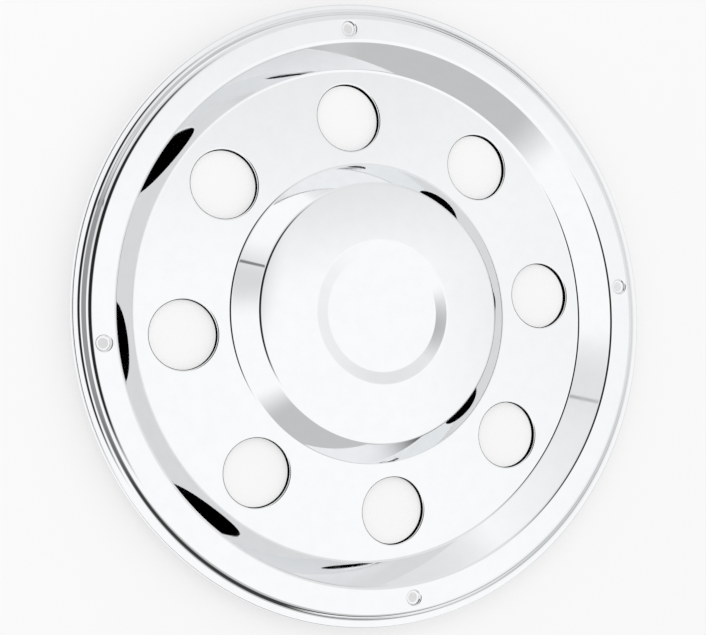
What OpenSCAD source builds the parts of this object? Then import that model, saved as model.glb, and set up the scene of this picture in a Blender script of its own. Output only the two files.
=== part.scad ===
// Wheel cover pressed from one round blank of polished stainless sheet, lying face up.
// The section runs outwards from the axis: sunken centre disc, low domed hub, hub bevel,
// shallow cone with the hand holes, sloping band, flat flange with the fixing holes,
// a step down to the lip, and a short skirt turned back at the edge.
// The cover rests on the ends of the turned-in hand hole collars, at Z = 0.

/* [Sheet] */
// Thickness of the sheet
sheet_t = 1; // [0.8:0.05:1.4]
// Inside radius of the bends at the hub and at the band
main_bend_r = 3.4; // [2:0.1:5]
// Inside radius of the two soft bends round the centre disc
centre_bend_r = 6; // [3:0.5:12]

/* [Outer rim] */
// Outside diameter of the cover
cover_d = 580; // [570:1:600]
// Height of the skirt that is turned back at the edge, from the top of the lip
skirt_h = 4.4; // [3:0.1:8]
// Inside radius of the bend between lip and skirt
skirt_bend_r = 0.4; // [0.3:0.1:1]
// Width of the lip between the skirt and the foot of the step
lip_w = 5.6; // [5:0.1:8]
// How far the step reaches inwards from the lip to the flange
step_run = 7; // [6:0.1:10]
// Height of the flange above the lip
step_h = 7.4; // [5:0.1:9]
// Inside radius of the bend at the top of the step
step_top_bend_r = 2.6; // [1:0.1:4]
// Inside radius of the bend at the foot of the step
step_foot_bend_r = 1.4; // [0.6:0.1:2]
// Width of the flat flange
flange_w = 24; // [22:0.5:30]

/* [Band and face] */
// How far the band reaches inwards from the flange to the face
band_run = 22.4; // [18:0.2:26]
// Depth of the face below the flange, at the foot of the band
band_drop = 25.1; // [20:0.1:30]
// How much the face rises from the foot of the band to the foot of the hub
face_rise = 3.9; // [0.5:0.1:6]

/* [Hub] */
// Diameter of the hub at its foot on the face
hub_base_d = 281.8; // [272:0.2:288]
// Diameter of the hub at the top of its bevel
hub_top_d = 241.8; // [230:0.2:250]
// Height of the hub's bevel above the face
hub_h = 20.2; // [14:0.2:26]
// Rise of the dome from the top of the bevel to the ring round the centre disc
dome_rise = 5; // [2:0.2:8]
// Diameter of the ring where the dome turns down to the centre disc
centre_ring_d = 134; // [124:1:150]
// Diameter of the flat centre disc
centre_disc_d = 110; // [96:1:114]
// Depth of the centre disc below the ring
centre_sink = 2.4; // [1:0.1:4]

/* [Hand holes] */
// Number of hand holes
hand_hole_n = 8; // [6:1:8]
// Clear diameter of a hand hole
hand_hole_d = 63; // [54:0.5:66]
// Depth of the collar turned in round a hand hole, from the face
collar_h = 5.5; // [4:0.1:9]
// Inside radius of the bend where the collar turns in
collar_bend_r = 0.8; // [0.4:0.1:1.5]

/* [Fixing holes] */
// Number of fixing holes
fixing_n = 4; // [4:4:8]
// Diameter of a fixing hole
fixing_d = 9.5; // [7:0.1:10]
// Diameter of the flat floor of the cup round a fixing hole
cup_floor_d = 12.4; // [12:0.1:13]
// How far the wall of the cup slopes outwards
cup_wall_run = 0.9; // [0.6:0.1:1.2]
// Depth of the cup below the flange
cup_h = 2.4; // [2:0.1:3.5]
// Inside radius of the bends of the cup
cup_bend_r = 0.5; // [0.3:0.1:0.6]

/* [Hidden] */
sheet_colour = [0.88, 0.89, 0.9];

// Largest turn of one straight stretch in a bend, in degrees
bend_step = 12;
// Number of straight stretches across the dome
dome_steps = 8;
// How far a collar or cup overlaps the sheet round it
lap = 0.4;
// Cutting tools reach this far past what they cut
over = 5;

// Radii of the corners of the front surface, before the bends are rounded
rim_r = cover_d / 2;
step_foot_r = rim_r - lip_w;
flange_out_r = step_foot_r - step_run;
flange_in_r = flange_out_r - flange_w;
band_foot_r = flange_in_r - band_run;
hub_base_r = hub_base_d / 2;
hub_top_r = hub_top_d / 2;
ring_r = centre_ring_d / 2;
disc_r = centre_disc_d / 2;

// The hand holes lie midway across the face, the fixing holes midway across the flange
hand_hole_r = hand_hole_d / 2;
hand_pitch_r = (hub_base_r + band_foot_r) / 2;
fixing_pitch_r = (flange_in_r + flange_out_r) / 2;

// The face is a shallow cone, and the collars stand square to it
face_tilt = atan(face_rise / (band_foot_r - hub_base_r));
collar_mouth_r = hand_hole_r + collar_bend_r + sheet_t;
collar_reach = collar_h * cos(face_tilt) + (hand_hole_r + sheet_t) * sin(face_tilt);

// Heights of the front surface above the surface that the cover lies on
face_mid_z = collar_reach;
band_foot_z = face_mid_z - face_rise / 2;
hub_base_z = face_mid_z + face_rise / 2;
flange_z = band_foot_z + band_drop;
lip_z = flange_z - step_h;
skirt_z = lip_z - skirt_h;
hub_top_z = hub_base_z + hub_h;
ring_z = hub_top_z + dome_rise;
disc_z = ring_z - centre_sink;

// Height of the dome at radius r: a round cap through the ring and the top of the bevel
dome_cap_r = (hub_top_r ^ 2 - ring_r ^ 2) / (2 * dome_rise);
function dome_z(r) = ring_z - (r ^ 2 - ring_r ^ 2) / (2 * dome_cap_r);

// Plane vectors
function unit(v) = v / norm(v);
function right_of(v) = [v.y, -v.x];
function turn_of(u, v) = u.x * v.y - u.y * v.x;
function turned(v, a) = [v.x * cos(a) - v.y * sin(a), v.x * sin(a) + v.y * cos(a)];
function xy(p) = [p[0], p[1]];

// Points of a bend of radius r at corner p, where direction u turns to direction v
function bend(p, u, v, r) =
    let (
        side = sign(turn_of(u, v)),
        angle = acos(u * v),
        start = p - u * r * tan(angle / 2),
        centre = start - side * right_of(u) * r,
        steps = ceil(angle / bend_step)
    )
    [for (k = [0 : steps]) centre + turned(start - centre, side * angle * k / steps)];

// One side of a sheet of thickness t, at depth d below its front.
// Each entry of path is a corner of the front surface: radius, height, inside bend radius.
function sheet_side(path, t, d) =
    let (last = len(path) - 1)
    [for (i = [0 : last])
        let (
            p = xy(path[i]),
            u = unit(i == 0 ? xy(path[1]) - p : p - xy(path[i - 1])),
            v = unit(i == last ? u : xy(path[i + 1]) - p),
            corner = p + d * (right_of(u) + right_of(v)) / (1 + u * v),
            r = path[i][2] + (turn_of(u, v) < 0 ? t - d : d)
        )
        each path[i][2] > 0 ? bend(corner, u, v, r) : [corner]];

// Order of a list, backwards
function reversed(points) = [for (i = [len(points) - 1 : -1 : 0]) points[i]];

// Section of a bent sheet, thickness to the right of the path
module sheet_section(path, t) {
    polygon(concat(sheet_side(path, t, 0), reversed(sheet_side(path, t, t))));
}

// Corners of the front surface from the axis to the end of the skirt
cover_path = concat(
    [[0, disc_z, 0],
     [disc_r, disc_z, centre_bend_r],
     [ring_r, ring_z, centre_bend_r]],
    [for (k = [1 : dome_steps - 1])
        let (r = ring_r + (hub_top_r - ring_r) * k / dome_steps)
        [r, dome_z(r), 0]],
    [[hub_top_r, hub_top_z, main_bend_r],
     [hub_base_r, hub_base_z, main_bend_r],
     [band_foot_r, band_foot_z, main_bend_r],
     [flange_in_r, flange_z, main_bend_r],
     [flange_out_r, flange_z, step_top_bend_r],
     [step_foot_r, lip_z, step_foot_bend_r],
     [rim_r, lip_z, skirt_bend_r],
     [rim_r, skirt_z, 0]]);

// Corners of a hand hole's collar, from its end up to the face
collar_path = [
    [hand_hole_r, -collar_h, 0],
    [hand_hole_r, 0, collar_bend_r],
    [collar_mouth_r + lap, 0, 0]];

// Corners of a fixing hole's cup, from its floor up to the flange
cup_rim_r = cup_floor_d / 2 + cup_wall_run;
cup_mouth_r = cup_rim_r + cup_bend_r + sheet_t;
cup_path = [
    [fixing_d / 2, -cup_h, 0],
    [cup_floor_d / 2, -cup_h, cup_bend_r],
    [cup_rim_r, 0, cup_bend_r],
    [cup_mouth_r + lap, 0, 0]];

// Places its children at each hand hole, square to the face
module at_hand_holes() {
    for (k = [0 : hand_hole_n - 1])
        rotate([0, 0, k * 360 / hand_hole_n])
            translate([hand_pitch_r, 0, face_mid_z])
                rotate([0, face_tilt, 0])
                    children();
}

// Places its children at each fixing hole, on the flange
module at_fixing_holes() {
    for (k = [0 : fixing_n - 1])
        rotate([0, 0, k * 360 / fixing_n])
            translate([fixing_pitch_r, 0, flange_z])
                children();
}

// The dished blank before its holes are pierced
module dished_blank() {
    rotate_extrude($fn = 240) sheet_section(cover_path, sheet_t);
}

// Turned-in collar round a hand hole
module hand_hole_collar() {
    rotate_extrude($fn = 96) sheet_section(collar_path, sheet_t);
}

// Pressed cup with a fixing hole in its floor
module fixing_cup() {
    rotate_extrude($fn = 64) sheet_section(cup_path, sheet_t);
}

// Opening pierced in the blank before a collar or a cup is drawn
module pierced(r) {
    translate([0, 0, -sheet_t - over]) cylinder(h = sheet_t + 2 * over, r = r, $fn = 96);
}

// The whole cover, one pressed sheet
module wheel_cover() {
    color(sheet_colour) {
        difference() {
            dished_blank();
            at_hand_holes() pierced(collar_mouth_r);
            at_fixing_holes() pierced(cup_mouth_r);
        }
        at_hand_holes() hand_hole_collar();
        at_fixing_holes() fixing_cup();
    }
}

wheel_cover();
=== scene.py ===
"""Dresses the pressed wheel cover: its mirror sheet, the floor, the light tent and the camera.

Sizes of the cover are in millimetres, as in the part's source, and become metres in the meshes.
The sizes of the floor, the tent and the camera are in metres.
"""

import logging
import math
from collections.abc import Callable, Sequence
from dataclasses import dataclass, field
from enum import Enum

import bmesh
import bpy
from mathutils import Matrix, Vector


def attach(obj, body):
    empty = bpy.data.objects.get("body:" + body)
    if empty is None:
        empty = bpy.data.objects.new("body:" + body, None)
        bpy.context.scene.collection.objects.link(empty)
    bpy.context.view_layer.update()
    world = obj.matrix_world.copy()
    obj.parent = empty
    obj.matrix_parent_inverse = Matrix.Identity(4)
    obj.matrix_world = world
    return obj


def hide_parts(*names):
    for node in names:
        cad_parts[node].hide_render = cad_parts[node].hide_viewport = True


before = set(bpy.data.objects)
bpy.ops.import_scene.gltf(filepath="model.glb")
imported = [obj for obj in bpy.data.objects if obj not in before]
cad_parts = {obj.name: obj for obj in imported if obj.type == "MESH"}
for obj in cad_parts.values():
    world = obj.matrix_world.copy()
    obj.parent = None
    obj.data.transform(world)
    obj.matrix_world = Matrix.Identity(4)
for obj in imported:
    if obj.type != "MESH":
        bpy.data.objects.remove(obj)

log = logging.getLogger("wheel_cover")

MM = 0.001
NODE = "wheel_cover"
DULL = "unpolished"

Value = float | int | bool | str | Sequence[float] | bpy.types.NodeSocket | bpy.types.ID
Height = Callable[[float], float]


class Side(Enum):
    """The two surfaces of the sheet, valued by their depth as a share of its thickness."""

    FRONT = 0.0
    BACK = 1.0


class RaySight(Enum):
    """The object settings that let rays of one kind meet an object."""

    CAMERA = "visible_camera"
    DIFFUSE = "visible_diffuse"
    GLOSSY = "visible_glossy"
    TRANSMISSION = "visible_transmission"
    SCATTER = "visible_volume_scatter"
    SHADOW = "visible_shadow"


# Node trees


class NodeBench:
    """Adds nodes to a tree, fills in their inputs and links them."""

    def __init__(self, tree: bpy.types.NodeTree) -> None:
        """Takes a tree and removes the nodes that it came with.

        Args:
            tree: The tree to build in.
        """
        self.tree = tree
        tree.nodes.clear()

    def feed(self, socket: bpy.types.NodeSocket, value: Value) -> None:
        """Links a socket to another one, or gives it a plain value.

        Args:
            socket: The input to fill.
            value: An output socket, or the value to write.
        """
        if isinstance(value, bpy.types.NodeSocket):
            self.tree.links.new(value, socket)
        else:
            socket.default_value = value

    def add(
        self, kind: str, inputs: dict[str | int, Value] | None = None, **settings: Value
    ) -> bpy.types.Node:
        """Adds one node.

        Args:
            kind: Its type name.
            inputs: Values or sockets by the input's name or place.
            **settings: Properties of the node itself, set before its inputs.

        Returns:
            The new node.
        """
        node = self.tree.nodes.new(kind)
        for name, value in settings.items():
            setattr(node, name, value)
        for key, value in (inputs or {}).items():
            self.feed(node.inputs[key], value)
        return node

    def math(self, operation: str, *values: Value) -> bpy.types.NodeSocket:
        """Adds a Math node.

        Args:
            operation: What it does.
            *values: Its inputs, in order.

        Returns:
            Its result.
        """
        node = self.add("ShaderNodeMath", dict(enumerate(values)), operation=operation)
        return node.outputs[0]

    def vector_math(self, operation: str, *values: Value) -> bpy.types.Node:
        """Adds a Vector Math node.

        Args:
            operation: What it does.
            *values: Its inputs, in order.

        Returns:
            The node, because it has both a vector and a number to give.
        """
        return self.add("ShaderNodeVectorMath", dict(enumerate(values)), operation=operation)

    def ramp(
        self, value: Value, low: float, high: float, to_low: float = 0.0, to_high: float = 1.0
    ) -> bpy.types.NodeSocket:
        """Adds a smooth Map Range node.

        Args:
            value: What is mapped.
            low: Where the ramp starts.
            high: Where it ends.
            to_low: What the start maps to.
            to_high: What the end maps to.

        Returns:
            Its result.
        """
        node = self.add(
            "ShaderNodeMapRange",
            {"Value": value, "From Min": low, "From Max": high, "To Min": to_low, "To Max": to_high},
            interpolation_type="SMOOTHSTEP",
        )
        return node.outputs["Result"]

    def mix_colour(self, factor: Value, near: Value, far: Value) -> bpy.types.NodeSocket:
        """Adds a Mix node for colours.

        Args:
            factor: Share of the second colour.
            near: The first colour.
            far: The second colour.

        Returns:
            The mixed colour.
        """
        node = self.add("ShaderNodeMix", data_type="RGBA")
        for name, value in (("Factor_Float", factor), ("A_Color", near), ("B_Color", far)):
            self.feed(next(s for s in node.inputs if s.identifier == name), value)
        return next(s for s in node.outputs if s.identifier == "Result_Color")


def grey(level: float) -> tuple[float, float, float, float]:
    """Returns the opaque grey of a level."""
    return (level, level, level, 1.0)


def named_group(name: str, inputs: dict[str, str], outputs: dict[str, str]) -> bpy.types.NodeTree:
    """Makes an empty shader node group with named sockets.

    Args:
        name: Name of the group.
        inputs: Socket type by input name.
        outputs: Socket type by output name.

    Returns:
        The group.
    """
    group = bpy.data.node_groups.new(name, "ShaderNodeTree")
    for in_out, sockets in (("INPUT", inputs), ("OUTPUT", outputs)):
        for label, kind in sockets.items():
            group.interface.new_socket(label, in_out=in_out, socket_type=kind)
    return group


# Finishes


def polish_marks_group() -> bpy.types.NodeTree:
    """Makes the effect that both finishes share: slow waves in the sheet and cloudy polish.

    Returns:
        A group that gives a cloud mask and a height in metres over the surface.
    """
    group = named_group(
        "polish marks",
        {
            "Wave length": "NodeSocketFloat",
            "Wave height": "NodeSocketFloat",
            "Cloud size": "NodeSocketFloat",
            "Grain size": "NodeSocketFloat",
            "Grain height": "NodeSocketFloat",
        },
        {"Cloud": "NodeSocketFloat", "Height": "NodeSocketFloat"},
    )
    bench = NodeBench(group)
    given = bench.add("NodeGroupInput").outputs
    place = bench.add("ShaderNodeTexCoord").outputs["Object"]

    def noise(size: bpy.types.NodeSocket, detail: float) -> bpy.types.NodeSocket:
        """Adds a noise over the surface.

        Args:
            size: Length of one blotch in metres.
            detail: Number of finer layers.

        Returns:
            The noise, about 0.5.
        """
        scale = bench.math("DIVIDE", 1.0, size)
        return bench.add(
            "ShaderNodeTexNoise", {"Vector": place, "Scale": scale, "Detail": detail}
        ).outputs["Fac"]

    wave = bench.math("MULTIPLY", noise(given["Wave length"], 1.0), given["Wave height"])
    grain = bench.math("MULTIPLY", noise(given["Grain size"], 2.0), given["Grain height"])
    cloud = bench.ramp(noise(given["Cloud size"], 4.0), 0.3, 0.7)
    bench.add("NodeGroupOutput", {"Cloud": cloud, "Height": bench.math("ADD", wave, grain)})
    return group


@dataclass(frozen=True)
class SheetFinish:
    """One finish of the stainless sheet.

    Attributes:
        name: Name of the material.
        clear: Colour of the cleanest places.
        cloudy: Colour of the cloudy places.
        roughness: Roughness of the cleanest and of the cloudy places.
        wave: Length and height of the slow waves, in metres.
        cloud: Size of the clouds, in metres.
        grain: Size and height of the grain, in metres.
    """

    name: str
    clear: tuple[float, float, float, float]
    cloudy: tuple[float, float, float, float]
    roughness: tuple[float, float]
    wave: tuple[float, float]
    cloud: float
    grain: tuple[float, float]

    def material(self, marks: bpy.types.NodeTree) -> bpy.types.Material:
        """Makes the material.

        Args:
            marks: The polish marks group.

        Returns:
            The material.
        """
        made = bpy.data.materials.new(self.name)
        made.use_nodes = True
        bench = NodeBench(made.node_tree)
        effect = bench.add("ShaderNodeGroup", node_tree=marks)
        sizes = (self.wave[0], self.wave[1], self.cloud, self.grain[0], self.grain[1])
        for socket, value in zip(effect.inputs, sizes, strict=True):
            socket.default_value = value
        cloud = effect.outputs["Cloud"]
        bump = bench.add(
            "ShaderNodeBump",
            {"Height": effect.outputs["Height"], "Strength": 1.0, "Distance": 1.0},
        )
        shader = bench.add(
            "ShaderNodeBsdfPrincipled",
            {
                "Base Color": bench.mix_colour(cloud, self.clear, self.cloudy),
                "Metallic": 1.0,
                "Roughness": bench.ramp(cloud, 0.0, 1.0, *self.roughness),
                "Normal": bump.outputs["Normal"],
            },
        )
        bench.add("ShaderNodeOutputMaterial", {"Surface": shader.outputs["BSDF"]})
        return made


MIRROR_POLISH = SheetFinish(
    name="mirror_polished_steel",
    clear=(0.88, 0.89, 0.9, 1.0),
    cloudy=(0.865, 0.875, 0.885, 1.0),
    roughness=(0.015, 0.05),
    wave=(0.05, 0.000006),
    cloud=0.012,
    grain=(0.0012, 0.0000002),
)
MILL_FINISH = SheetFinish(
    name="mill_finished_steel",
    clear=(0.62, 0.625, 0.63, 1.0),
    cloudy=(0.54, 0.545, 0.55, 1.0),
    roughness=(0.28, 0.42),
    wave=(0.05, 0.00001),
    cloud=0.02,
    grain=(0.0006, 0.000004),
)


# Section of the sheet


@dataclass(frozen=True)
class Corner:
    """A corner of the front surface before its bend is rounded, in millimetres.

    Attributes:
        r: Distance from the axis.
        z: Height.
        bend: Inside radius of the bend, or 0 for none.
    """

    r: float
    z: float
    bend: float = 0.0


def right_of(v: Vector) -> Vector:
    """Returns a plane vector turned a quarter turn to the right."""
    return Vector((v.y, -v.x))


@dataclass(frozen=True)
class SheetSection:
    """Section of a bent sheet that lies to the right of its path.

    Attributes:
        corners: Corners of the front surface, in order.
        thickness: Thickness of the sheet.
    """

    corners: tuple[Corner, ...]
    thickness: float

    def bend(self, place: int, side: Side, turn: float) -> list[Vector]:
        """Works out the points of one corner on one side of the sheet.

        Args:
            place: Place of the corner in the path.
            side: The side of the sheet.
            turn: Largest turn from one point to the next, in degrees.

        Returns:
            The points of the bend in order, or a single one where there is no bend.
        """
        spots = [Vector((c.r, c.z)) for c in self.corners]
        last = len(spots) - 1
        ahead = (spots[min(place, last - 1) + 1] - spots[min(place, last - 1)]).normalized()
        behind = (spots[place] - spots[place - 1]).normalized() if place else ahead
        depth = side.value * self.thickness
        out = (right_of(behind) + right_of(ahead)) / (1 + behind.dot(ahead))
        corner = spots[place] + out * depth
        angle = math.atan2(behind.x * ahead.y - behind.y * ahead.x, behind.dot(ahead))
        if self.corners[place].bend <= 0:
            return [corner]
        radius = self.corners[place].bend + (self.thickness - depth if angle < 0 else depth)
        start = corner - behind * radius * math.tan(abs(angle) / 2)
        centre = start - right_of(behind) * math.copysign(radius, angle)
        steps = max(2, math.ceil(math.degrees(abs(angle)) / turn))
        arm = start - centre
        turns = (angle * k / steps for k in range(steps + 1))
        return [centre + Matrix.Rotation(a, 2) @ arm for a in turns]

    def bends(self, side: Side, turn: float) -> list[list[Vector]]:
        """Works out every corner of one side.

        Args:
            side: The side of the sheet.
            turn: Largest turn from one point to the next, in degrees.

        Returns:
            The points of each bend in order.
        """
        return [self.bend(place, side, turn) for place in range(len(self.corners))]


def between(a: Vector, b: Vector, pieces: int, support: float) -> list[Vector]:
    """Divides a straight stretch, with a row close to each end so that the light bends only there.

    Args:
        a: Start of the stretch.
        b: End of the stretch.
        pieces: Pieces between the two close rows.
        support: Distance of each close row from its end, or 0 for none.

    Returns:
        The points strictly between a and b.
    """
    length = (b - a).length
    if length < 1e-6:
        return []
    edge = min(support / length, 0.25)
    if edge == 0:
        return [a.lerp(b, k / pieces) for k in range(1, pieces)]
    return [a.lerp(b, edge + (1 - 2 * edge) * k / pieces) for k in range(pieces + 1)]


class SheetMesh:
    """Gathers strips of faces and makes one mesh of them."""

    def __init__(self) -> None:
        """Starts an empty mesh with the mark for unpolished faces."""
        self.bm = bmesh.new()
        self.dull = self.bm.faces.layers.bool.new(DULL)

    def face(self, corners: list[bmesh.types.BMVert], dull: bool) -> None:
        """Adds one face.

        Args:
            corners: Its corners, anticlockwise from outside.
            dull: Whether it belongs to the unpolished back.
        """
        self.bm.faces.new(corners)[self.dull] = dull

    def points(self, row: Sequence[Vector]) -> list[bmesh.types.BMVert]:
        """Adds a row of points, given in millimetres, and returns them."""
        return [self.bm.verts.new(p * MM) for p in row]

    def strip(
        self, rows: Sequence[Sequence[Vector]], dull: bool = False, closed: bool = False
    ) -> None:
        """Joins rows of points by four-sided faces, or by a fan where a row is one point.

        Args:
            rows: The rows, each with its points in the same order.
            dull: Whether the faces belong to the unpolished back.
            closed: Whether each row runs round to its own start.
        """
        made = [self.points(row) for row in rows]
        for near, far in zip(made, made[1:]):
            count = max(len(near), len(far))
            for j in range(count if closed else count - 1):
                k = (j + 1) % count
                first = [near[j], near[k]] if len(near) > 1 else [near[0]]
                second = [far[j], far[k]] if len(far) > 1 else [far[0]]
                self.face([first[0], *second, *first[1:]], dull)

    def halve(self, fine: Sequence[Vector], coarse: Sequence[Vector], dull: bool = False) -> None:
        """Joins a closed row to one round it with half as many points.

        Args:
            fine: The row with more points.
            coarse: The row with half as many, its first in line with the fine row's first.
            dull: Whether the faces belong to the unpolished back.
        """
        many, few = self.points(fine), self.points(coarse)
        for j in range(len(few)):
            k = (j + 1) % len(few)
            a, b, c = many[2 * j], many[2 * j + 1], many[(2 * j + 2) % len(many)]
            order = [a, few[j], few[k], c, b]
            self.face(order[::-1] if dull else order, dull)

    def mesh(self, name: str, merge: float) -> bpy.types.Mesh:
        """Merges the doubled points of neighbouring strips and makes the mesh.

        Args:
            name: Name of the mesh.
            merge: Points closer than this are one, in metres.

        Returns:
            The mesh.
        """
        bmesh.ops.remove_doubles(self.bm, verts=self.bm.verts, dist=merge)
        made = bpy.data.meshes.new(name)
        self.bm.to_mesh(made)
        self.bm.free()
        return made


# The cover


@dataclass(frozen=True)
class CoverSizes:
    """Sizes of the pressed blank, in millimetres, with the same names as in the part's source."""

    sheet_t: float = 1.0
    main_bend_r: float = 3.4
    centre_bend_r: float = 6.0
    cover_d: float = 580.0
    skirt_h: float = 4.4
    skirt_bend_r: float = 0.4
    lip_w: float = 7.0
    step_run: float = 5.5
    step_h: float = 7.4
    step_top_bend_r: float = 6.0
    step_foot_bend_r: float = 4.9
    flange_w: float = 24.0
    band_run: float = 22.4
    band_drop: float = 25.1
    face_rise: float = 3.9
    hub_base_d: float = 281.8
    hub_top_d: float = 241.8
    hub_h: float = 20.2
    dome_rise: float = 5.0
    centre_ring_d: float = 134.0
    centre_disc_d: float = 110.0
    centre_sink: float = 2.4
    dome_steps: int = 12

    @property
    def rim_r(self) -> float:
        """Radius of the cover."""
        return self.cover_d / 2

    @property
    def step_foot_r(self) -> float:
        """Radius of the foot of the step."""
        return self.rim_r - self.lip_w

    @property
    def flange_out_r(self) -> float:
        """Outer radius of the flange."""
        return self.step_foot_r - self.step_run

    @property
    def flange_in_r(self) -> float:
        """Inner radius of the flange."""
        return self.flange_out_r - self.flange_w

    @property
    def band_foot_r(self) -> float:
        """Radius of the foot of the band."""
        return self.flange_in_r - self.band_run

    @property
    def face_tilt(self) -> float:
        """Slope of the face, in radians."""
        return math.atan(self.face_rise / (self.band_foot_r - self.hub_base_d / 2))

    def corners(self, face_mid_z: float) -> tuple[Corner, ...]:
        """Lists the corners of the front surface from the axis to the end of the skirt.

        Args:
            face_mid_z: Height of the face midway between hub and band.

        Returns:
            The corners.
        """
        band_foot_z = face_mid_z - self.face_rise / 2
        hub_base_z = face_mid_z + self.face_rise / 2
        flange_z = band_foot_z + self.band_drop
        lip_z = flange_z - self.step_h
        hub_top_z = hub_base_z + self.hub_h
        ring_z = hub_top_z + self.dome_rise
        disc_z = ring_z - self.centre_sink
        ring_r, hub_top_r = self.centre_ring_d / 2, self.hub_top_d / 2
        fall = self.dome_rise / (hub_top_r**2 - ring_r**2)
        dome = [ring_r + (hub_top_r - ring_r) * k / self.dome_steps for k in range(1, self.dome_steps)]
        return (
            Corner(0, disc_z),
            Corner(self.centre_disc_d / 2, disc_z, self.centre_bend_r),
            Corner(ring_r, ring_z, self.centre_bend_r),
            *(Corner(r, ring_z - fall * (r**2 - ring_r**2)) for r in dome),
            Corner(hub_top_r, hub_top_z, self.main_bend_r),
            Corner(self.hub_base_d / 2, hub_base_z, self.main_bend_r),
            Corner(self.band_foot_r, band_foot_z, self.main_bend_r),
            Corner(self.flange_in_r, flange_z, self.main_bend_r),
            Corner(self.flange_out_r, flange_z, self.step_top_bend_r),
            Corner(self.step_foot_r, lip_z, self.step_foot_bend_r),
            Corner(self.rim_r, lip_z, self.skirt_bend_r),
            Corner(self.rim_r, lip_z - self.skirt_h),
        )


@dataclass(frozen=True)
class HandHole:
    """A hand hole with the collar that is turned in round it, in millimetres.

    Attributes:
        hole_d: Clear diameter.
        collar_h: Depth of the collar from the face.
        collar_bend_r: Inside radius of its bend.
        count: Number of hand holes.
        support: Distance of the row that holds the face flat round the bend.
        turn: Largest turn between the rows of the bend, in degrees.
    """

    hole_d: float = 63.0
    collar_h: float = 5.5
    collar_bend_r: float = 0.8
    count: int = 8
    support: float = 0.5
    turn: float = 10.0

    def reach(self, tilt: float, thickness: float) -> float:
        """Height of the face's middle above the lowest point of a collar.

        Args:
            tilt: Slope of the face, in radians.
            thickness: Thickness of the sheet.

        Returns:
            The height.
        """
        return self.collar_h * math.cos(tilt) + (self.hole_d / 2 + thickness) * math.sin(tilt)

    def section(self, thickness: float) -> SheetSection:
        """Section of the collar from its end up to the face, about the hole's own axis."""
        mouth_r = self.hole_d / 2 + self.collar_bend_r + thickness
        return SheetSection(
            (
                Corner(self.hole_d / 2, -self.collar_h),
                Corner(self.hole_d / 2, 0, self.collar_bend_r),
                Corner(mouth_r, 0),
            ),
            thickness,
        )

    def circle(
        self, angles: Sequence[float], spot: Vector, depth: float, pitch: Vector, face: Height, tilt: float
    ) -> list[Vector]:
        """One row round the hole, on the cone at the face and flat at the collar's end.

        Args:
            angles: Directions of its points about the hole's axis, in radians.
            spot: The row's radius and its height from the face.
            depth: Depth of this side of the sheet below the front.
            pitch: Centre of the hole on the front of the face.
            face: Height of the front of the face at a distance from the cover's axis.
            tilt: Slope of the face, in radians.

        Returns:
            The points of the row.
        """
        turn = Matrix.Rotation(tilt, 3, "Y")
        share = (self.collar_h + spot.y) / (self.collar_h - depth)
        row = []
        for a in angles:
            flat = pitch + turn @ Vector((spot.x * math.cos(a), spot.x * math.sin(a), 0))
            rise = face(math.hypot(flat.x, flat.y)) - flat.z
            row.append(flat + turn @ Vector((0, 0, spot.y)) + Vector((0, 0, rise * share)))
        return row


@dataclass(frozen=True)
class FixingCup:
    """A fixing hole in its pressed cup, in millimetres.

    Attributes:
        hole_d: Diameter of the hole.
        floor_d: Diameter of the cup's flat floor.
        wall_run: How far its wall slopes outwards.
        depth: Depth below the flange.
        bend_r: Inside radius of its bends.
        draw_depth: How far the flange is drawn down at the cup's mouth.
        draw_reach: Distance from the cup's middle at which the flange is flat again.
        turn: Largest turn between the rows of a bend, in degrees.
        points: Points round the cup; not used.
    """

    hole_d: float = 9.5
    floor_d: float = 12.4
    wall_run: float = 0.9
    depth: float = 2.4
    bend_r: float = 0.5
    draw_depth: float = 0.16
    draw_reach: float = 13.5
    turn: float = 12.0
    points: int = 48

    def mouth_r(self, thickness: float) -> float:
        """Radius at which the cup meets the flange."""
        return self.floor_d / 2 + self.wall_run + self.bend_r + thickness

    def section(self, thickness: float) -> SheetSection:
        """Section of the cup from its hole up to the flange, about the hole's own axis."""
        return SheetSection(
            (
                Corner(self.hole_d / 2, -self.depth),
                Corner(self.floor_d / 2, -self.depth, self.bend_r),
                Corner(self.floor_d / 2 + self.wall_run, 0, self.bend_r),
                Corner(self.mouth_r(thickness), 0),
            ),
            thickness,
        )

    def drawn(self, r: float) -> float:
        """How far the flange is drawn down at a distance from the cup's middle."""
        share = min(max((self.draw_reach - r) / (self.draw_reach - self.floor_d / 2), 0.0), 1.0)
        return self.draw_depth * share**2


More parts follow.
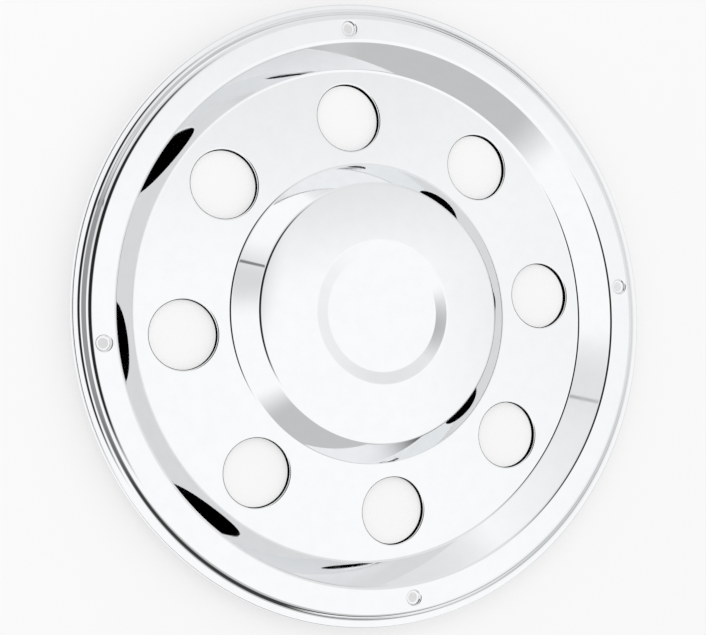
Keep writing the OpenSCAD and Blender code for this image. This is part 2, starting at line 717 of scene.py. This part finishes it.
@dataclass
class WheelCover:
    """The whole cover: one pressed sheet, made of sectors with and without a fixing cup.

    Attributes:
        sizes: Sizes of the pressed blank.
        hole: The hand hole.
        cup: The fixing cup.
        columns: Columns of faces across one sector.
        face_rows: Rows of faces across the face at a sector's sides.
        cup_columns: Columns on each side of a cup that its patch takes up.
        turns: Largest turn between the rows of a bend, in degrees, for each side.
        support: Distance of the rows that hold flat stretches flat.
        row_gap: Distance between the rows of a straight stretch, about.
        merge: Points closer than this are one, in metres.
        sharp: Edges that turn more than this are kept sharp, in degrees.
    """

    sizes: CoverSizes = field(default_factory=CoverSizes)
    hole: HandHole = field(default_factory=HandHole)
    cup: FixingCup = field(default_factory=FixingCup)
    columns: int = 36
    face_rows: int = 18
    cup_columns: int = 4
    turns: dict[Side, float] = field(default_factory=lambda: {Side.FRONT: 6.0, Side.BACK: 20.0})
    support: float = 0.4
    row_gap: float = 14.0
    merge: float = 0.000002
    sharp: float = 40.0

    def __post_init__(self) -> None:
        """Works out the section and where the face and the flange start in it."""
        self.face_z = self.hole.reach(self.sizes.face_tilt, self.sizes.sheet_t)
        corners = self.sizes.corners(self.face_z)
        self.section = SheetSection(corners, self.sizes.sheet_t)
        self.face_at = len(corners) - 7
        self.flange_at = len(corners) - 5
        half = math.pi / self.hole.count
        self.azimuths = [-half + 2 * half * k / self.columns for k in range(self.columns + 1)]
        self.pitch = Vector(((self.sizes.hub_base_d / 2 + self.sizes.band_foot_r) / 2, 0, self.face_z))
        self.cup_pitch = (self.sizes.flange_in_r + self.sizes.flange_out_r) / 2

    def stretch(self, bends: list[list[Vector]], first: int, last: int) -> list[Vector]:
        """Rows of the section from the row after one bend to the row before another.

        Args:
            bends: Points of every bend of one side.
            first: Corner that the stretch starts after, or -1 for the axis.
            last: Corner that it ends before, or the number of corners for the end.

        Returns:
            The points of the section in order.
        """
        rows: list[Vector] = []
        for k in range(first, last):
            if k >= 0 and k > first:
                rows += bends[k]
            if 0 <= k < len(bends) - 1:
                a, b = bends[k][-1], bends[k + 1][0]
                bent = len(bends[k]) > 1 or len(bends[k + 1]) > 1
                pieces = max(1, round((b - a).length / self.row_gap))
                inner = between(a, b, pieces, self.support if bent else 0)
                if k == first:
                    inner = inner[-1:]
                if k == last - 1 and last < len(bends):
                    inner = inner[:1]
                rows += inner
        return rows

    def ring(self, spot: Vector, columns: slice = slice(None)) -> list[Vector]:
        """The row that one point of the section makes across a sector."""
        if spot.x == 0:
            return [Vector((0, 0, spot.y))]
        return [Vector((spot.x * math.cos(a), spot.x * math.sin(a), spot.y)) for a in self.azimuths[columns]]

    def frame_of(self, low: float, high: float, rows: int, columns: slice) -> list[Vector]:
        """Points round a patch of a sector, anticlockwise from its outer side's start.

        Args:
            low: Its inner radius.
            high: Its outer radius.
            rows: Number of faces along its sides.
            columns: The columns that it takes up.

        Returns:
            The points, with height 0.
        """
        angles = self.azimuths[columns]
        radii = [high + (low - high) * k / rows for k in range(rows + 1)]
        polar = [(high, a) for a in angles[:-1]]
        polar += [(r, angles[-1]) for r in radii[:-1]]
        polar += [(low, a) for a in reversed(angles[1:])]
        polar += [(r, angles[0]) for r in reversed(radii[1:])]
        return [Vector((r * math.cos(a), r * math.sin(a), 0)) for r, a in polar]

    def directions(self, around: list[Vector], centre: float, sides: Sequence[int]) -> list[float]:
        """Directions of the points of a circle that face the points round it.

        Args:
            around: Points round a patch.
            centre: Distance of the circle's centre from the axis.
            sides: Number of points on each side of the patch.

        Returns:
            The angles in radians, evenly spread along each side.
        """
        angles: list[float] = []
        at = 0
        for count in sides:
            a, b = around[at], around[(at + count) % len(around)]
            start = math.atan2(a.y, a.x - centre)
            span = (math.atan2(b.y, b.x - centre) - start) % math.tau
            angles += [start + span * k / count for k in range(count)]
            at += count
        return angles

    def add_face_patch(self, mesh: SheetMesh) -> None:
        """Adds the face of one sector with its hand hole and collar, front and back.

        Args:
            mesh: The sector's mesh.
        """
        tilt, t = self.sizes.face_tilt, self.sizes.sheet_t
        slope = math.tan(tilt)
        middle = self.pitch.x
        sides = (self.columns, self.face_rows, self.columns, self.face_rows)

        def front(r: float) -> float:
            """Height of the face's front at a distance from the axis."""
            return self.face_z - (r - middle) * slope

        loops: dict[Side, list[list[Vector]]] = {}
        walls: dict[Side, list[list[Vector]]] = {}
        for side in Side:
            bends = self.section.bends(side, self.turns[side])
            low, high = bends[self.face_at][-1], bends[self.face_at + 1][0]
            run = (high - low).normalized() * self.support
            low, high = low + run, high - run
            drop = side.value * t / math.cos(tilt)
            frame_row = self.frame_of(low.x, high.x, self.face_rows, slice(None))
            angles = self.directions(frame_row, middle, sides)
            collar = self.hole.section(t)
            depth = side.value * t
            turn = self.hole.turn * (1 if side is Side.FRONT else 1.6)
            made = collar.bends(side, turn)
            spots = [made[0][0], *between(made[0][0], made[1][0], 1, self.support), *made[1], made[2][0]]
            circles = [self.hole.circle(angles, s, depth, self.pitch, front, tilt) for s in spots]
            mouth = circles[-1]
            reach = (frame_row[0] - Vector((middle, 0, 0))).length
            shares = [self.hole.support / reach, 0.1, 0.22, 0.38, 0.57, 0.78, 1.0]
            if side is Side.BACK:
                shares = [self.hole.support / reach, 0.15, 0.4, 0.7, 1.0]
            patch = [mouth]
            for share in shares:
                row = []
                for near, far in zip(mouth, frame_row, strict=True):
                    flat = near.xy.lerp(far.xy, share)
                    row.append(Vector((flat.x, flat.y, front(flat.length) - drop)))
                patch.append(row)
            walls[side], loops[side] = circles, patch
        mesh.strip([*walls[Side.BACK], *loops[Side.BACK][1:]][::-1], dull=True, closed=True)
        mesh.strip([walls[Side.BACK][0], *walls[Side.FRONT], *loops[Side.FRONT][1:]], closed=True)

    def add_flange(self, mesh: SheetMesh, cupped: bool) -> None:
        """Adds the flange of one sector, front and back.

        Args:
            mesh: The sector's mesh.
            cupped: Whether the sector has a fixing cup.
        """
        walls: dict[Side, list[list[Vector]]] = {}
        middle = len(self.azimuths) // 2
        patch = slice(middle - self.cup_columns, middle + self.cup_columns + 1)
        for side in Side:
            dull = side is Side.BACK
            bends = self.section.bends(side, self.turns[side])
            a, b = bends[self.flange_at][-1], bends[self.flange_at + 1][0]
            rows = between(a, b, 2 * self.cup_columns, self.support)
            if not cupped:
                plain = rows if side is Side.FRONT else rows[::-1]
                mesh.strip([self.ring(s) for s in plain], dull)
                continue
            for columns in (slice(0, patch.start + 1), slice(patch.stop - 1, None)):
                part = [self.ring(s, columns) for s in rows]
                mesh.strip(part if side is Side.FRONT else part[::-1], dull)
            count = 2 * self.cup_columns
            around = self.frame_of(rows[0].x, rows[-1].x, count, patch)
            around = [Vector((p.x, p.y, rows[0].y)) for p in around]
            coarse = self.directions(around, self.cup_pitch, (count,) * 4)
            fine = []
            for j, angle in enumerate(coarse):
                span = (coarse[(j + 1) % len(coarse)] - angle) % math.tau
                fine += [angle, angle + span / 2]
            made = self.cup.section(self.sizes.sheet_t).bends(side, self.cup.turn)
            spots = [spot for bend in made for spot in bend]
            top = self.section.corners[self.flange_at].z

            def circle(r: float, z: float) -> list[Vector]:
                """A row round the cup, drawn down with the flange."""
                z -= self.cup.drawn(r)
                return [
                    Vector((self.cup_pitch + r * math.cos(f), r * math.sin(f), z)) for f in fine
                ]

            rings = [circle(s.x, s.y + top) for s in spots]
            doubled = []
            for j, p in enumerate(around):
                doubled += [p, p.lerp(around[(j + 1) % len(around)], 0.5)]
            outer = []
            for share in (0.2, 0.4, 0.6, 0.8):
                row = []
                for near, far in zip(rings[-1], doubled, strict=True):
                    flat = near.xy.lerp(far.xy, share)
                    off = (flat - Vector((self.cup_pitch, 0))).length
                    row.append(Vector((flat.x, flat.y, rows[0].y - self.cup.drawn(off))))
                outer.append(row)
            rings += outer
            walls[side] = rings
            if dull:
                mesh.strip(rings[::-1], dull=True, closed=True)
            else:
                mesh.strip(rings, closed=True)
            mesh.halve(rings[-1], around, dull)
        if cupped:
            mesh.strip([walls[Side.BACK][0], walls[Side.FRONT][0]], closed=True)

    def sector(self, cupped: bool) -> bpy.types.Object:
        """Makes one sector, centred on +X.

        Args:
            cupped: Whether it has a fixing cup.

        Returns:
            The sector's object.
        """
        mesh = SheetMesh()
        ends: list[Vector] = []
        for side in Side:
            bends = self.section.bends(side, self.turns[side])
            runs = (
                (-1, self.face_at + 1),
                (self.face_at, self.flange_at + 1),
                (self.flange_at, len(bends)),
            )
            for first, last in runs:
                rows = [self.ring(s) for s in self.stretch(bends, first, last)]
                mesh.strip(rows if side is Side.FRONT else rows[::-1], side is Side.BACK)
            ends.append(bends[-1][-1])
        mesh.strip([self.ring(s) for s in ends])
        self.add_face_patch(mesh)
        self.add_flange(mesh, cupped)
        name = "cupped_sector" if cupped else "plain_sector"
        made = bpy.data.objects.new(name, mesh.mesh(name, self.merge))
        bpy.context.scene.collection.objects.link(made)
        return made

    def tree(self) -> bpy.types.NodeTree:
        """Makes the geometry node tree that sets the sectors round the axis.

        Returns:
            The tree.
        """
        tree = bpy.data.node_groups.new("sectors round the axis", "GeometryNodeTree")
        inputs = {
            "Cupped sector": "NodeSocketObject",
            "Plain sector": "NodeSocketObject",
            "Pairs": "NodeSocketInt",
            "Merge distance": "NodeSocketFloat",
            "Front finish": "NodeSocketMaterial",
            "Back finish": "NodeSocketMaterial",
        }
        for label, kind in inputs.items():
            tree.interface.new_socket(label, in_out="INPUT", socket_type=kind)
        tree.interface.new_socket("Geometry", in_out="OUTPUT", socket_type="NodeSocketGeometry")
        bench = NodeBench(tree)
        given = bench.add("NodeGroupInput").outputs
        step = bench.math("DIVIDE", math.tau, given["Pairs"])
        join = bench.add("GeometryNodeJoinGeometry")
        for label, start in (("Cupped sector", 0.0), ("Plain sector", 0.5)):
            source = bench.add("GeometryNodeObjectInfo", {"Object": given[label]})
            centre = bench.add(
                "GeometryNodeMeshLine",
                {"Count": given["Pairs"], "Offset": (0, 0, 0)},
            )
            place = bench.math("ADD", bench.add("GeometryNodeInputIndex").outputs[0], start)
            angle = bench.add("ShaderNodeCombineXYZ", {"Z": bench.math("MULTIPLY", place, step)})
            turn = bench.add("FunctionNodeEulerToRotation", {"Euler": angle.outputs[0]})
            copies = bench.add(
                "GeometryNodeInstanceOnPoints",
                {
                    "Points": centre.outputs["Mesh"],
                    "Instance": source.outputs["Geometry"],
                    "Rotation": turn.outputs[0],
                },
            )
            bench.feed(join.inputs[0], copies.outputs["Instances"])
        real = bench.add("GeometryNodeRealizeInstances", {"Geometry": join.outputs[0]})
        merged = bench.add(
            "GeometryNodeMergeByDistance",
            {"Geometry": real.outputs[0], "Distance": given["Merge distance"]},
        )
        dull = bench.add("GeometryNodeInputNamedAttribute", {"Name": DULL}, data_type="BOOLEAN")
        front = bench.add(
            "GeometryNodeSetMaterial",
            {"Geometry": merged.outputs[0], "Material": given["Front finish"]},
        )
        back = bench.add(
            "GeometryNodeSetMaterial",
            {
                "Geometry": front.outputs[0],
                "Selection": dull.outputs["Attribute"],
                "Material": given["Back finish"],
            },
        )
        bench.add("NodeGroupOutput", {"Geometry": back.outputs[0]})
        return tree

    def build(self) -> bpy.types.Object:
        """Makes the cover and puts it in the place of its CAD node.

        Returns:
            The finished piece.
        """
        marks = polish_marks_group()
        sectors = [self.sector(True), self.sector(False)]
        holder = bpy.data.objects.new("sectors", bpy.data.meshes.new("sectors"))
        bpy.context.scene.collection.objects.link(holder)
        modifier = holder.modifiers.new("sectors", "NODES")
        tree = self.tree()
        modifier.node_group = tree
        values = {
            "Cupped sector": sectors[0],
            "Plain sector": sectors[1],
            "Pairs": self.hole.count // 2,
            "Merge distance": self.merge,
            "Front finish": MIRROR_POLISH.material(marks),
            "Back finish": MILL_FINISH.material(marks),
        }
        for item in tree.interface.items_tree:
            if item.in_out == "INPUT":
                modifier[item.identifier] = values[item.name]
        graph = bpy.context.evaluated_depsgraph_get()
        mesh = bpy.data.meshes.new_from_object(holder.evaluated_get(graph), depsgraph=graph)
        for done in (holder, *sectors):
            bpy.data.objects.remove(done)
        mesh.name = "cover_sheet"
        mesh.shade_smooth()
        mesh.set_sharp_from_angle(angle=math.radians(self.sharp))
        mesh.attributes.remove(mesh.attributes[DULL])
        piece = bpy.data.objects.new("cover_sheet", mesh)
        bpy.context.scene.collection.objects.link(piece)
        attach(piece, "root")
        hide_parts(NODE)
        mesh.calc_loop_triangles()
        log.info("cover_sheet: %d triangles", len(mesh.loop_triangles))
        return piece


# The studio


@dataclass(frozen=True)
class TentPatch:
    """A soft-edged patch of the light tent that the mirror sheet shows.

    Attributes:
        name: What it is.
        azimuth: Its direction round the axis, anticlockwise from +X, in degrees.
        fall: Its direction down from straight above, in degrees.
        wide: Half its width, in degrees.
        high: Half its height, in degrees.
        soft: Width of its soft edge as a share of its size.
        tone: Its brightness.
    """

    name: str
    azimuth: float
    fall: float
    wide: float
    high: float
    soft: float
    tone: float

    def axes(self) -> tuple[Vector, Vector, Vector]:
        """Returns the directions of its middle, of its width and of its height."""
        a, f = math.radians(self.azimuth), math.radians(self.fall)
        middle = Vector((math.sin(f) * math.cos(a), math.sin(f) * math.sin(a), math.cos(f)))
        across = Vector((-math.sin(a), math.cos(a), 0))
        return middle, across, middle.cross(across)


TENT_PATCHES = (
    TentPatch("right side", 10, 84, 110, 38, 0.6, 0.84),
    TentPatch("top side", 86, 42, 60, 30, 0.3, 0.86),
    TentPatch("lower side", 262, 80, 42, 20, 0.3, 0.6),
    TentPatch("upper edge", 85, 102, 50, 9, 0.4, 0.62),
    TentPatch("left shade", 152, 76, 13, 10, 0.9, 0.75),
    TentPatch("left edge", 172, 87, 62, 12, 0.3, 0.34),
    TentPatch("lower right wall", 325, 92, 24, 12, 0.4, 0.48),
    TentPatch("dark stand", 40, 92, 14, 9, 0.5, 0.15),
    TentPatch("foot of the tent", 252, 99, 58, 9, 0.3, 0.05),
    TentPatch("seam", 142, 76, 0.8, 11, 0.5, 0.25),
    TentPatch("camera opening", 147, 21, 32, 24, 0.25, 0.02),
)


@dataclass(frozen=True)
class LightTent:
    """The white tent round the cover: plain for the eye and for soft light, patched for the mirror.

    Attributes:
        patches: Patches that differ from the white cloth.
        cloth: Brightness of the cloth in the mirror.
        backdrop: Brightness of the backdrop that the camera sees.
        fill: Brightness of the light that falls on the floor.
    """

    patches: tuple[TentPatch, ...] = TENT_PATCHES
    cloth: float = 1.08
    backdrop: float = 1.0
    fill: float = 0.85

    def patch_group(self) -> bpy.types.NodeTree:
        """Makes the group that finds how far a direction lies inside a patch.

        Returns:
            The group, with a mask as its output.
        """
        group = named_group(
            "tent patch",
            {
                "Direction": "NodeSocketVector",
                "Middle": "NodeSocketVector",
                "Across": "NodeSocketVector",
                "Along": "NodeSocketVector",
                "Width": "NodeSocketFloat",
                "Height": "NodeSocketFloat",
                "Softness": "NodeSocketFloat",
            },
            {"Mask": "NodeSocketFloat"},
        )
        bench = NodeBench(group)
        given = bench.add("NodeGroupInput").outputs
        way = given["Direction"]

        def part(axis: str) -> bpy.types.NodeSocket:
            """Adds the share of the direction along one axis and returns it."""
            return bench.vector_math("DOT_PRODUCT", way, given[axis]).outputs["Value"]

        ahead = part("Middle")
        x = bench.math("DIVIDE", bench.math("ARCTAN2", part("Across"), ahead), given["Width"])
        y = bench.math("DIVIDE", bench.math("ARCTAN2", part("Along"), ahead), given["Height"])
        squares = bench.math("ADD", bench.math("POWER", x, 2.0), bench.math("POWER", y, 2.0))
        off = bench.math("SQRT", squares)
        inner = bench.math("SUBTRACT", 1.0, given["Softness"])
        outer = bench.math("ADD", 1.0, given["Softness"])
        mask = bench.add(
            "ShaderNodeMapRange",
            {"Value": off, "From Min": inner, "From Max": outer, "To Min": 1.0, "To Max": 0.0},
            interpolation_type="SMOOTHSTEP",
        )
        bench.add("NodeGroupOutput", {"Mask": mask.outputs["Result"]})
        return group

    def build(self) -> None:
        """Makes the world."""
        world = bpy.data.worlds.new("light_tent")
        world.use_nodes = True
        bpy.context.scene.world = world
        bench = NodeBench(world.node_tree)
        way = bench.add("ShaderNodeTexCoord").outputs["Generated"]
        colour: Value = grey(self.cloth)
        group = self.patch_group()
        for patch in self.patches:
            middle, across, along = patch.axes()
            values = {
                "Direction": way,
                "Middle": middle,
                "Across": across,
                "Along": along,
                "Width": math.radians(patch.wide),
                "Height": math.radians(patch.high),
                "Softness": patch.soft,
            }
            node = bench.add("ShaderNodeGroup", node_tree=group)
            for name, value in values.items():
                bench.feed(node.inputs[name], value)
            colour = bench.mix_colour(node.outputs["Mask"], colour, grey(patch.tone))
        sight = bench.add("ShaderNodeLightPath").outputs
        plain = bench.math("MAXIMUM", sight["Is Camera Ray"], sight["Is Transmission Ray"])
        mirror = bench.add("ShaderNodeBackground", {"Color": colour, "Strength": 1.0})
        soft = bench.add("ShaderNodeBackground", {"Color": grey(1.0), "Strength": self.fill})
        seen = bench.add("ShaderNodeBackground", {"Color": grey(1.0), "Strength": self.backdrop})
        shaded = bench.add(
            "ShaderNodeMixShader",
            {0: sight["Is Glossy Ray"], 1: soft.outputs[0], 2: mirror.outputs[0]},
        )
        whole = bench.add(
            "ShaderNodeMixShader", {0: plain, 1: shaded.outputs[0], 2: seen.outputs[0]}
        )
        bench.add("ShaderNodeOutputWorld", {"Surface": whole.outputs[0]})
        log.info("light tent: %d patches", len(self.patches))


@dataclass(frozen=True)
class Floor:
    """The pale floor that the cover lies on, and a black disc under the cover that only its mirror shows:
    painted shade that makes the hand holes look dark in the mirror's reflections.

    Attributes:
        radius: Radius of the floor, in metres.
        sink: How far the floor lies under the cover, in metres.
        colour: Colour of the floor.
        glow: Share of plain white in what the camera sees of it.
        shade_disc_radius: Radius of the black disc of painted shade under the cover, in metres.
        points: Points round each disc.
    """

    radius: float = 12.0
    sink: float = 0.0002
    colour: float = 0.94
    glow: float = 0.55
    shade_disc_radius: float = 0.245
    points: int = 96

    def disc(self, name: str, radius: float, z: float) -> bpy.types.Object:
        """Makes a flat disc.

        Args:
            name: Name of the object.
            radius: Its radius.
            z: Its height.

        Returns:
            The disc.
        """
        turns = [math.tau * k / self.points for k in range(self.points)]
        edge = [(radius * math.cos(a), radius * math.sin(a), z) for a in turns]
        mesh = bpy.data.meshes.new(name)
        mesh.from_pydata(edge, [], [range(self.points)])
        made = bpy.data.objects.new(name, mesh)
        bpy.context.scene.collection.objects.link(made)
        return made

    def floor_material(self) -> bpy.types.Material:
        """Makes the floor's material: it takes the cover's shadow and is near white elsewhere.

        Returns:
            The material.
        """
        made = bpy.data.materials.new("pale_floor")
        made.use_nodes = True
        bench = NodeBench(made.node_tree)
        matt = bench.add("ShaderNodeBsdfDiffuse", {"Color": grey(self.colour)})
        white = bench.add("ShaderNodeEmission", {"Color": grey(1.0), "Strength": 1.0})
        sight = bench.add("ShaderNodeLightPath").outputs
        seen = bench.math("MAXIMUM", sight["Is Camera Ray"], sight["Is Glossy Ray"])
        seen = bench.math("MAXIMUM", seen, sight["Is Transmission Ray"])
        share = bench.math("MULTIPLY", seen, self.glow)
        mixed = bench.add(
            "ShaderNodeMixShader", {0: share, 1: matt.outputs[0], 2: white.outputs[0]}
        )
        bench.add("ShaderNodeOutputMaterial", {"Surface": mixed.outputs[0]})
        return made

    def build(self) -> None:
        """Makes the floor and the black disc of painted shade under the cover."""
        floor = self.disc("floor", self.radius, -self.sink)
        floor.data.materials.append(self.floor_material())
        floor.visible_glossy = False
        # Painted shade: a black disc just under the cover that only glossy rays meet, so the hand holes show
        # dark in the mirror's reflections while the camera still sees the white floor through them.
        cloth = self.disc("dark_cloth", self.shade_disc_radius, -self.sink / 2)
        black = bpy.data.materials.new("painted_shade_black")
        black.use_nodes = True
        bench = NodeBench(black.node_tree)
        matt = bench.add("ShaderNodeBsdfDiffuse", {"Color": grey(0.0)})
        bench.add("ShaderNodeOutputMaterial", {"Surface": matt.outputs[0]})
        cloth.data.materials.append(black)
        for sight in RaySight:
            setattr(cloth, sight.value, sight is RaySight.GLOSSY)
        log.info("floor and dark cloth")


@dataclass(frozen=True)
class SoftLamp:
    """One large soft lamp that gives the floor its faint shadow and isn't seen in the mirror.

    Attributes:
        place: Where it stands, in metres.
        size: Its side, in metres.
        power: Its power, in watts.
    """

    place: tuple[float, float, float] = (-1.2, 1.4, 2.6)
    size: float = 1.6
    power: float = 14.0

    def build(self) -> None:
        """Makes the lamp, aimed at the cover."""
        data = bpy.data.lights.new("soft_lamp", "AREA")
        data.shape = "SQUARE"
        data.size = self.size
        data.energy = self.power
        lamp = bpy.data.objects.new("soft_lamp", data)
        lamp.location = self.place
        lamp.rotation_euler = (-Vector(self.place)).to_track_quat("-Z", "Y").to_euler()
        lamp.visible_glossy = False
        lamp.visible_camera = False
        bpy.context.scene.collection.objects.link(lamp)
        log.info("soft lamp")


@dataclass(frozen=True)
class PhotoCamera:
    """The camera at the photograph's viewing angle.

    Attributes:
        place: Where it stands, in metres.
        aim: The point that it looks at, in metres.
        roll: Its turn about its own axis, in degrees, from having +Y upwards.
        lens: Its focal length, in millimetres.
        sensor: Width of its sensor, in millimetres.
    """

    place: tuple[float, float, float] = (-0.62634, -0.01258, 1.31714)
    aim: tuple[float, float, float] = (-0.02507, -0.00154, 0.02)
    roll: float = 6.484
    lens: float = 78.753
    sensor: float = 36.0

    def build(self) -> None:
        """Makes the camera and gives it to the scene."""
        data = bpy.data.cameras.new("camera")
        data.lens = self.lens
        data.sensor_width = self.sensor
        data.clip_start, data.clip_end = 0.05, 50.0
        ahead = (Vector(self.aim) - Vector(self.place)).normalized()
        right = ahead.cross(Vector((0, 1, 0))).normalized()
        up = right.cross(ahead)
        turn = Matrix((right, up, -ahead)).transposed() @ Matrix.Rotation(
            math.radians(-self.roll), 3, "Z"
        )
        camera = bpy.data.objects.new("camera", data)
        camera.matrix_world = Matrix.Translation(self.place) @ turn.to_4x4()
        bpy.context.scene.collection.objects.link(camera)
        bpy.context.scene.camera = camera
        log.info("camera")


def main() -> None:
    """Builds the cover, the studio and the camera."""
    logging.basicConfig(level=logging.INFO, format="%(name)s: %(message)s")
    scene = bpy.context.scene
    scene.view_settings.view_transform = "Standard"
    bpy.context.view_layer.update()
    PhotoCamera().build()
    WheelCover().build()
    Floor().build()
    LightTent().build()
    SoftLamp().build()


if __name__ == "__main__":
    main()
